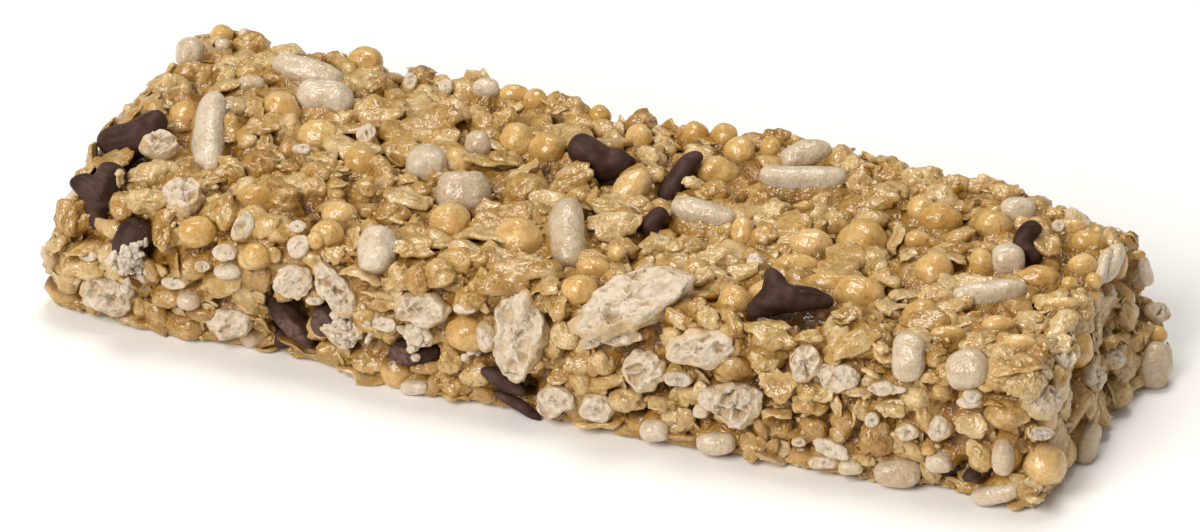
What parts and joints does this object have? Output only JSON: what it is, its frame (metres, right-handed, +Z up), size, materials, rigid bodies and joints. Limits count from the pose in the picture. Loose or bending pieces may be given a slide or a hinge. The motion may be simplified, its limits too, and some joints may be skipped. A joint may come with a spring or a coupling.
{
  "type": "granola bar",
  "caption": "Chewy granola bar: a pressed, cobbled bar of rolled oats and crisps with chocolate chips set in its top, sides, ends and flat underside.",
  "frame": {"origin": "middle of the flat underside, on the surface that the bar rests on", "axes": "+X along the bar's length, +Y across its width, +Z up out of its top"},
  "size_m": [0.1016, 0.0384, 0.0162],
  "materials": {
    "oats_and_crisps": "glossy baked oats and crisps held by syrup, rough and uneven",
    "chocolate": "dark chocolate, satin with scuffs and crumbs"
  },
  "bodies": {
    "root": {"granola_body": "oats_and_crisps", "chocolate_chip_01": "chocolate", "chocolate_chip_02": "chocolate", "chocolate_chip_03": "chocolate", "chocolate_chip_04": "chocolate", "chocolate_chip_05": "chocolate", "chocolate_chip_06": "chocolate", "chocolate_chip_07": "chocolate", "chocolate_chip_08": "chocolate", "chocolate_chip_09": "chocolate", "chocolate_chip_10": "chocolate", "chocolate_chip_11": "chocolate", "chocolate_chip_12": "chocolate", "chocolate_chip_13": "chocolate", "chocolate_chip_14": "chocolate", "chocolate_chip_15": "chocolate", "chocolate_chip_16": "chocolate", "chocolate_chip_17": "chocolate", "chocolate_chip_18": "chocolate", "chocolate_chip_19": "chocolate", "chocolate_chip_20": "chocolate", "chocolate_chip_21": "chocolate", "chocolate_chip_22": "chocolate", "chocolate_chip_23": "chocolate", "chocolate_chip_24": "chocolate", "chocolate_chip_25": "chocolate", "chocolate_chip_26": "chocolate", "chocolate_chip_27": "chocolate"}
  },
  "joints": []
}
